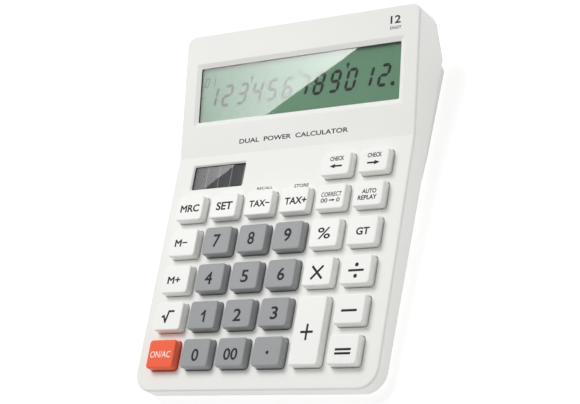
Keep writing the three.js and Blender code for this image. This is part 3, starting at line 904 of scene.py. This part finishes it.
# %% Battery
# Nickel plate drawn along the can, and a glossy printed plastic sleeve round it.
cell_metal = textured(
    "nickel_plated_can", ("cbc9c2", "d8d6d0"), 0.25, 4, 0.2, 0.002, (0.2, 1, 1), Metallic=1.0
)
cell_sleeve = textured(
    "pvc_shrink_sleeve", ("2b5d80", "33678c"), 0.3, 12, 2, 0.01, IOR=1.53, Coat_Weight=0.4
)
low, high = span("battery", PANEL)
CELL_RADIUS = (high.z - low.z) / 2
CAN_RADIUS = CELL_RADIUS - 0.15 * MM
NUB_RADIUS = 1.9 * MM
NUB_HEIGHT = 1.0 * MM
CAN_EDGE = 0.25 * MM
SLEEVE_END = 0.1 * MM
SLEEVE_EDGE = 0.4 * MM
SLEEVE_THICKNESS = 0.12 * MM

shoulder = high.x - low.x - NUB_HEIGHT
can = disc("cell_can", CAN_RADIUS, 0, shoulder, 48)
edit(can)
pick(can, "FACE", looks_up)
bpy.ops.mesh.inset(thickness=CAN_RADIUS - NUB_RADIUS, depth=0)
extrude_by(NUB_HEIGHT)
leave_edit(can)
round_edges(can, lambda e: is_rim(e, 1), CAN_EDGE, segments=3)
sleeve = disc("cell_sleeve", CELL_RADIUS, SLEEVE_END, shoulder - SLEEVE_END, 48)
round_edges(sleeve, lambda e: is_rim(e, 1) or is_rim(e, -1), SLEEVE_EDGE)
delete_faces(sleeve, lambda f: looks_up(f) or looks_down(f))
apply_modifier(sleeve, "SOLIDIFY", thickness=SLEEVE_THICKNESS, offset=-1)
lying = Matrix.Translation((low.x, (low.y + high.y) / 2, (low.z + high.z) / 2))
lying = PANEL @ lying @ Matrix.Rotation(math.radians(90), 4, "Y")
finish_piece(can, "casing", cell_metal, lying)
finish_piece(sleeve, "casing", cell_sleeve, lying)
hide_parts("battery")
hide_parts("battery")
print("cell is", round(2 * CELL_RADIUS / MM, 1), "mm across")

# %% [markdown]
# Key legends and panel prints are pad-printed ink. They could be painted in a material, but a real
# print has an edge, so each is a very thin mesh that stands on the plastic. Text becomes a mesh
# first, is stretched to its printed width and height, and is then carried to its place.

# %% Printed words
INK_THICKNESS = 0.05 * MM
INK_SINK = 0.02 * MM
DOUBLE = 1e-4


def text_print(words, x, y, width, height, surface, weight):
    """Words as a thin mesh of an exact width and height, centred on (x, y)."""
    bpy.ops.object.select_all(action="DESELECT")
    bpy.ops.object.text_add()
    ink = bpy.context.object
    ink.data.body = words
    ink.data.bevel_depth = weight
    ink.data.bevel_resolution = 0
    ink.data.resolution_u = 4
    bpy.ops.object.convert(target="MESH")
    edit(ink)
    bpy.ops.mesh.select_all(action="SELECT")
    bpy.ops.mesh.remove_doubles(threshold=DOUBLE)
    bpy.ops.mesh.dissolve_degenerate(threshold=DOUBLE)
    leave_edit(ink)
    low, high = corners_of(ink.data)
    size = high - low
    middle = (low + high) / 2
    scale = Matrix.Diagonal((width / size.x, height / size.y, INK_THICKNESS / size.z, 1))
    to = Matrix.Translation((x, y, surface - INK_SINK + INK_THICKNESS / 2))
    ink.data.transform(to @ scale @ Matrix.Translation(-middle))
    return ink


# %% Printed bars, arrows and signs
BAR_ROUND = 0.2
SHAFT_SHARE = 0.4
HEAD_SHARE = 0.42
TIP_SHARE = 0.02


def bar_print(x, y, width, height, surface):
    """A straight stroke with softly rounded ends."""
    bottom = surface - INK_SINK
    bar = box(
        "bar",
        (x - width / 2, y - height / 2, bottom),
        (x + width / 2, y + height / 2, bottom + INK_THICKNESS),
    )
    round_edges(bar, is_upright, min(width, height) * BAR_ROUND, segments=2)
    return bar


def union_of(pieces):
    """One closed mesh made of pieces that overlap."""
    for piece in pieces[1:]:
        carve(pieces[0], piece, "UNION")
    return pieces[0]


def arrow_print(x, y, width, height, surface, way):
    """A shaft and a pointed head, made from one bar whose end is extruded to a point."""
    bottom, half = surface - INK_SINK, SHAFT_SHARE * height / 2
    bar = box(
        "arrow",
        (x - width / 2, y - half, bottom), (x + width / 2, y + half, bottom + INK_THICKNESS),
    )
    head = way * HEAD_SHARE * width
    tip = x + way * width / 2
    edit(bar)
    pick(bar, "FACE", lambda f: f.normal.x * way > FACING)
    bpy.ops.transform.translate(value=(-head, 0, 0))
    extrude_by(0)
    resize_about(1, 1 / SHAFT_SHARE, surface, tip, y)
    extrude_by(0, head)
    resize_about(1, TIP_SHARE, surface, tip, y)
    leave_edit(bar)
    return bar


# Each sign has a stroke in millimetres, lines through points that are shares of its width and
# height, and dots.
SIGNS = {
    "one": (1.15, [[(0, 0.68), (0.45, 0.78), (1, 1), (1, 0)]], []),
    "root": (1.1, [[(0, 0.5), (0.13, 0.58), (0.33, 0), (0.56, 1), (1, 1)]], []),
    "plus": (1.25, [[(0, 0.5), (1, 0.5)], [(0.5, 0), (0.5, 1)]], []),
    "times": (1.25, [[(0, 0), (1, 1)], [(0, 1), (1, 0)]], []),
    "divide": (1.2, [[(0, 0.5), (1, 0.5)]], [(0.5, 0), (0.5, 1)]),
}
DOT_SHARE = 0.9


def sign_print(sign, x, y, width, height, surface):
    stroke, lines, dots = SIGNS[sign]
    stroke *= MM

    def place(point):
        across, up = point[0] - 0.5, point[1] - 0.5
        return Vector((x + across * (width - stroke), y + up * (height - stroke), 0))

    bars = []
    for line in lines:
        for start, end in zip(map(place, line), map(place, line[1:])):
            along = end - start
            bar = bar_print(0, 0, along.length + stroke, stroke, surface)
            turn = Matrix.Rotation(math.atan2(along.y, along.x), 4, "Z")
            bar.data.transform(Matrix.Translation((start + end) / 2) @ turn)
            bars.append(bar)
    bottom = surface - INK_SINK
    for dot in map(place, dots):
        bars.append(disc(
            "dot", DOT_SHARE * stroke, bottom, bottom + INK_THICKNESS, 24, dot.x, dot.y
        ))
    return union_of(bars)


# %% Legends
# Words, then the offset from the key's centre and the printed width and height, in millimetres.
LEGENDS = {
    "key_7": [("7", 0, -0.15, 4.7, 7.3)],
    "key_8": [("8", -0.2, -0.05, 4.3, 7.0)],
    "key_9": [("9", 0.2, 0.25, 4.6, 7.3)],
    "key_4": [("4", -0.5, -0.4, 4.8, 7.0)],
    "key_5": [("5", 0.2, -0.4, 4.7, 6.9)],
    "key_6": [("6", 0.5, -0.4, 4.5, 7.0)],
    "key_1": [("one", 0.6, -0.75, 2.8, 6.7)],
    "key_2": [("2", 0, -0.85, 5.1, 6.9)],
    "key_3": [("3", 0.5, -0.55, 4.5, 7.0)],
    "key_0": [("0", 0.2, -1.15, 4.5, 6.8)],
    "key_00": [("00", 0.3, -1.1, 8.9, 6.4)],
    "key_point": [("•", 0.5, -0.75, 1.9, 1.9)],
    "key_plus": [("plus", -0.3, -0.95, 7.6, 8.6)],
    "key_minus": [("bar", 0.1, -0.85, 9.3, 1.25)],
    "key_equals": [("bar", 0.2, -0.1, 9.4, 1.2), ("bar", 0.2, -2.2, 9.4, 1.2)],
    "key_multiply": [("times", -0.1, -0.65, 7.2, 7.4)],
    "key_divide": [("divide", 0.4, -0.65, 9.2, 7.2)],
    "key_percent": [("%", 0.1, -0.25, 7.9, 6.3)],
    "key_square_root": [("root", -0.3, -0.25, 8.2, 7.0)],
    "key_grand_total": [("GT", 0.6, -0.55, 7.9, 4.1)],
    "key_memory_minus": [("M−", -1.1, -0.05, 8.4, 4.1)],
    "key_memory_plus": [("M+", -1.0, -0.45, 8.6, 4.1)],
    "key_memory_recall": [("MRC", 0.2, -0.1, 12.8, 4.3)],
    "key_set": [("SET", 0.7, -0.2, 10.7, 4.7)],
    "key_tax_minus": [("TAX−", 1.0, -0.5, 13.2, 3.8)],
    "key_tax_plus": [("TAX+", 1.4, -0.7, 13.8, 4.0)],
    "key_correct": [
        ("CORRECT", 0.6, 1.15, 12.5, 2.5), ("00", -3.4, -2.15, 4.2, 2.4),
        ("right", 1.4, -2.15, 3.6, 1.6), ("0", 5.2, -2.15, 2.1, 2.4),
    ],
    "key_auto_replay": [("AUTO", 0.6, 1.15, 8.6, 2.5), ("REPLAY", 0, -2.25, 11.3, 2.5)],
    "key_check_back": [("CHECK", 0.5, 2.8, 8.7, 2.5), ("left", 0.3, -1.4, 7.6, 2.4)],
    "key_check_forward": [("CHECK", 0.5, 2.8, 8.7, 2.5), ("right", 0.3, -1.4, 7.6, 2.4)],
    "key_on_all_clear": [("ON/AC", -0.2, -0.35, 13.6, 3.6)],
}
# How much a text's strokes are thickened, as a share of its letter size.
WORD_WEIGHT = 0.03
DIGIT_WEIGHT = 0.018
SPECIAL_WEIGHT = {"%": 0.012, "ON/AC": 0.004, "CORRECT": 0.018}


def legend_mesh(kind, x, y, width, height, surface):
    if kind == "bar":
        return bar_print(x, y, width, height, surface)
    if kind in ("left", "right"):
        return arrow_print(x, y, width, height, surface, 1 if kind == "right" else -1)
    if kind in SIGNS:
        return sign_print(kind, x, y, width, height, surface)
    weight = SPECIAL_WEIGHT.get(kind, DIGIT_WEIGHT if kind.isdigit() else WORD_WEIGHT)
    return text_print(kind, x, y, width, height, surface, weight)


for node, strokes in LEGENDS.items():
    prints = [
        legend_mesh(kind, dx * MM, dy * MM, width * MM, height * MM, KEY_RISE)
        for kind, dx, dy, width, height in strokes
    ]
    legend = join_meshes(f"legend_{node[4:]}", prints)
    ink, slot = black_ink, "epoxy_black"
    if node == "key_on_all_clear":
        ink, slot = white_ink, "key_white"
    place = PANEL @ Matrix.Translation((*key_places[node], 0))
    finish_piece(legend, node, ink, place, weighted=False)
print("legends:", len(LEGENDS))

# %% [markdown]
# The casing carries a few small words, printed with a finer pad than the keys. They are made in
# the same way, on the panel or on the deck.

# %% Prints on the casing
FINE_WEIGHT = 0.02
panel_prints = [
    ("RECALL", -12.9, 100.4, 10.4, 1.5, PANEL),
    ("STORE", 11.0, 99.9, 9.2, 2.0, PANEL),
    ("12", 61.8, 62.7, 6.2, 4.3, DECK),
    ("DIGIT", 62.1, 58.3, 6.9, 1.5, DECK),
    ("DUAL  POWER  CALCULATOR", 0.2, 6.6, 70.9, 2.6, DECK),
]
for words, x, y, width, height, place in panel_prints:
    ink = text_print(words, x * MM, y * MM, width * MM, height * MM, 0, FINE_WEIGHT)
    ink.name = "print_" + words.split()[0].lower()
    finish_piece(ink, "casing", black_ink, place, weighted=False)
print("prints on the casing:", len(panel_prints))

# %% [markdown]
# The screen is a twisted-nematic panel: dark segments on a grey-green reflecting ground, under a
# clear acrylic window. One stretched hexagon is the whole alphabet. Seven turned copies of it make
# a figure, and a figure leans to the right as such displays do.

# %% Screen segments
GLASS_TOP = span("lcd_panel", DECK)[1].z
FIGURE_WIDTH = 5.0 * MM
FIGURE_HEIGHT = 10.6 * MM
STROKE = 1.75 * MM
POINT_SHARE = 0.48
SEGMENT_GAP = 0.18 * MM
FIGURE_SLANT = math.tan(math.radians(13))
# Each segment's middle, in half widths and half heights of a figure, and whether it stands up.
SEGMENT_PLACES = {
    "a": (0, 1, False), "g": (0, 0, False), "d": (0, -1, False), "b": (1, 0.5, True),
    "c": (1, -0.5, True), "f": (-1, 0.5, True), "e": (-1, -0.5, True),
}
SEGMENTS_OF = {
    "0": "abcdef", "1": "bc", "2": "abged", "3": "abgcd", "4": "fgbc", "5": "afgcd",
    "6": "afgedc", "7": "abc", "8": "abcdefg", "9": "gfabcd",
}


def model_segment(length):
    """A bar with pointed ends, lying along X and centred."""
    half = length / 2 - SEGMENT_GAP
    segment = box("segment", (-half, -STROKE / 2, 0), (half, STROKE / 2, INK_THICKNESS))
    round_edges(segment, is_upright, STROKE * POINT_SHARE, segments=1)
    return segment


# %% Screen figures and marks
FIRST_FIGURE = -57.6
FIGURE_PITCH = 10.22
FIGURE_ROW = 34.3 * MM
SMALL_SIZE = 0.45
FIRST_SMALL = -62.2
SMALL_PITCH = 4.2
SMALL_ROW = 43.0 * MM
POINT_PLACE = (60.2 * MM, 29.2 * MM)
POINT_RADIUS = 1.25 * MM
MARK_ROW = 42.6 * MM
MARK_RADIUS = 1.05 * MM
TAIL_LENGTH = 2 * MM
TAIL_LEFT = -0.35 * MM
TAIL_RIGHT = 0.55 * MM

masters = {False: model_segment(FIGURE_WIDTH), True: model_segment(FIGURE_HEIGHT / 2)}
upright = Matrix.Rotation(math.radians(90), 4, "Z")
slant = Matrix.Identity(4)
slant[0][1] = FIGURE_SLANT


def figure(digit, x, y, size=1.0):
    parts = []
    for letter in SEGMENTS_OF[digit]:
        across, up, stands = SEGMENT_PLACES[letter]
        part = copy_of(masters[stands])
        place = Matrix.Translation((across * FIGURE_WIDTH / 2, up * FIGURE_HEIGHT / 2, 0))
        if stands:
            place = place @ upright
        shrink = Matrix.Diagonal((size, size, 1, 1))
        part.data.transform(Matrix.Translation((x, y, GLASS_TOP)) @ slant @ shrink @ place)
        parts.append(part)
    return parts


def screen_dot(x, y, radius):
    return disc("dot", radius, GLASS_TOP, GLASS_TOP + INK_THICKNESS, 16, x, y)


strokes = []
for index, digit in enumerate("123456789012"):
    strokes += figure(digit, (FIRST_FIGURE + FIGURE_PITCH * index) * MM, FIGURE_ROW)
for index, digit in enumerate("01"):
    strokes += figure(digit, (FIRST_SMALL + SMALL_PITCH * index) * MM, SMALL_ROW, SMALL_SIZE)
strokes.append(screen_dot(*POINT_PLACE, POINT_RADIUS))
for x in (-31.2, 0.6, 31.9):
    strokes.append(screen_dot(x * MM, MARK_ROW, MARK_RADIUS))
    tail = box("tail", (TAIL_LEFT, -TAIL_LENGTH, 0), (TAIL_RIGHT, 0, INK_THICKNESS))
    tail.data.transform(Matrix.Translation((x * MM, MARK_ROW, GLASS_TOP)) @ slant)
    strokes.append(tail)
for master in masters.values():
    bpy.data.objects.remove(master)
# Switched liquid crystal looks black behind the polariser, with the green of it showing through.
lcd_ink = textured("switched_liquid_crystal", ("020303", "060807"), 0.6, 1, 0.3, 0.001,
                   Specular_IOR_Level=0.1)
segments = join_meshes("screen_segments", strokes)
finish_piece(segments, "casing", lcd_ink, DECK, weighted=False)
print("screen figures:", len(segments.data.polygons), "faces")

# %% [markdown]
# The CAD solids of the windows, the screen and everything inside have the right shape already, so
# they stay and only get their finishes. The two windows let direct light through, as thin clear
# sheets do, so they throw no shadow on what lies under them.

# %% Finishes of the windows, the screen and the solar cell
# Cast acrylic, polished, with the faint ripple that all clear sheet has.
acrylic = textured(
    "polished_clear_acrylic", ("f5f9f7", "f8fbf9"), 0.02, 40, 15, 0.0004,
    IOR=1.49, Transmission_Weight=1.0,
)
# The polariser is a matt green-grey film, and the foil under it is rolled aluminium.
lcd_polariser = textured("lcd_polariser_film", ("4f745a", "53795e"), 0.6, 30, 0.3, 0.001,
                         Specular_IOR_Level=0.2)
foil = textured("rolled_aluminium_foil", ("c2c4c6", "d2d4d6"), 0.3, 8, 0.3, 0.004, (0.1, 1, 1),
                Metallic=1.0)
# Amorphous silicon is nearly black, with a violet cast that drifts across the sheet.
silicon = textured("amorphous_silicon", ("08090a", "0d0d0f"), 0.5, 6, 0.4, 0.001,
                   Specular_IOR_Level=0.15)

# %% Finishes of what lies inside
polyimide = textured("polyimide_ribbon", ("a5671d", "b67526"), 0.35, 1.2, 0.3, 0.004, (1, 8, 1),
                     IOR=1.6)
red_pvc = textured("red_pvc_insulation", ("a81f1c", "b82824"), 0.4, 5, 0.4, 0.006, IOR=1.53)
black_pvc = textured("black_pvc_insulation", ("1b1c1d", "242526"), 0.4, 5, 0.4, 0.006, IOR=1.53)
# Solder mask over glass weave: the green is darker where copper lies under it.
solder_mask = textured("green_solder_mask", ("1d5a34", "2d7446"), 0.35, 3, 0.5, 0.01, (1, 0.3, 1),
                       IOR=1.55)
epoxy = textured("black_glob_top_epoxy", ("151617", "1d1e1f"), 0.3, 4, 0.8, 0.01, IOR=1.56)
silicone = textured("keypad_silicone", ("b9bcbb", "c4c7c6"), 0.7, 10, 0.5, 0.01, IOR=1.41)
nickel = textured("nickel_plated_spring_steel", ("bdbab3", "cfccc6"), 0.3, 2, 0.2, 0.002,
                  (1, 0.2, 1), Metallic=1.0)

# %% A finish for each part that stays
FINISHES = {
    "display_window": acrylic, "solar_window": acrylic, "lcd_panel": lcd_polariser,
    "lcd_reflector": foil, "lcd_holder": cover_abs, "lcd_ribbon": polyimide,
    "solar_cell": silicon, "solar_lead_positive": red_pvc, "solar_lead_negative": black_pvc,
    "main_board": solder_mask, "chip_cover": epoxy, "capacitor": foil,
    "rubber_keypad": silicone, "battery_contact_positive": nickel,
    "battery_contact_spring": nickel,
}
for node, material in FINISHES.items():
    part = frame["nodes"][node]
    for material_slot in part.material_slots:
        material_slot.material = material
    part.visible_shadow = material is not acrylic
print("parts that stay:", len(FINISHES))

# %% [markdown]
# The solar cell is one sheet of glass that is scribed into a row of cells. Each scribed line shows
# as a thin pale stripe, so one low bar is made and repeated by an array.

# %% Scribed lines of the solar cell
DIVIDERS = 4
LAST_CELL = 0.2
DIVIDER_HALF = 0.12 * MM
DIVIDER_HEIGHT = 0.03 * MM
DIVIDER_EDGE = 0.01 * MM

low, high = span("solar_cell", PANEL)
start, end = SOLAR[0][0] + SOLAR_RIM, SOLAR[1][0] - SOLAR_RIM
pitch = (end - start) / (DIVIDERS + LAST_CELL)
stripes = box(
    "cell_divider",
    (start + pitch - DIVIDER_HALF, low.y, high.z),
    (start + pitch + DIVIDER_HALF, high.y, high.z + DIVIDER_HEIGHT),
)
round_edges(stripes, lambda e: is_rim(e, 1), DIVIDER_EDGE, segments=1)
apply_modifier(
    stripes, "ARRAY", count=DIVIDERS, use_relative_offset=False, use_constant_offset=True,
    constant_offset_displace=(pitch, 0, 0),
)
divider = textured("scribed_cell_divider", ("868a8f", "989ca1"), 0.5, 1, 0.2, 0.001, IOR=1.5)
finish_piece(stripes, "casing", divider, PANEL, weighted=False)
print("solar cells are", round(pitch / MM, 1), "mm wide")

# %% [markdown]
# A window shows what stands opposite it in the room. Two glowing cards stand where the eye would
# see them mirrored in the windows, cut at a slant, so that one end of each window shines and the
# other stays clear. Only mirrored rays meet the cards, so they don't light the calculator.

# %% Cards mirrored in the windows
CARD_HEIGHT = 0.3


def glow_card(name, corners, place, strongest, weakest, start, end):
    """A flat glowing card over a surface, brightest at the end point and fading to the start."""
    bpy.ops.object.select_all(action="DESELECT")
    bpy.ops.mesh.primitive_plane_add(size=1)
    card = bpy.context.object
    card.name = name
    for vertex, (x, y) in zip(card.data.vertices, (corners[i] for i in (0, 1, 3, 2))):
        vertex.co = (x * MM, y * MM, CARD_HEIGHT)
    card.data.transform(place)
    material = bpy.data.materials.new(name + "_glow")
    material.use_nodes = True
    material.node_tree.nodes.clear()
    coordinates = add_node(material, "ShaderNodeTexCoord").outputs["Object"]
    here = place @ Vector((start[0] * MM, start[1] * MM, CARD_HEIGHT))
    there = place @ Vector((end[0] * MM, end[1] * MM, CARD_HEIGHT))
    along = there - here
    shifted = add_node(
        material, "ShaderNodeVectorMath", {0: coordinates, 1: tuple(here)}, operation="SUBTRACT"
    ).outputs[0]
    share = add_node(
        material, "ShaderNodeVectorMath",
        {0: shifted, 1: tuple(along / along.length_squared)}, operation="DOT_PRODUCT",
    ).outputs["Value"]
    strength = add_node(
        material, "ShaderNodeMapRange", {"Value": share, "To Min": weakest, "To Max": strongest}
    ).outputs[0]
    glow = add_node(material, "ShaderNodeEmission", {"Strength": strength}).outputs[0]
    add_node(material, "ShaderNodeOutputMaterial", {"Surface": glow})
    card.data.materials.append(material)
    for ray in ("camera", "diffuse", "transmission", "volume_scatter", "shadow"):
        setattr(card, "visible_" + ray, False)


glow_card(
    "display_card",
    [(-345, 103.9), (-271.5, 103.9), (-142.5, 171.9), (-345, 171.9)],
    DECK, 16.0, 4.0, (-330, 120), (-160, 160),
)
glow_card(
    "solar_card",
    [(-360, 240), (-331.1, 240), (-280, 275), (-360, 275)],
    PANEL, 6.5, 0.4, (-350, 245), (-285, 268),
)
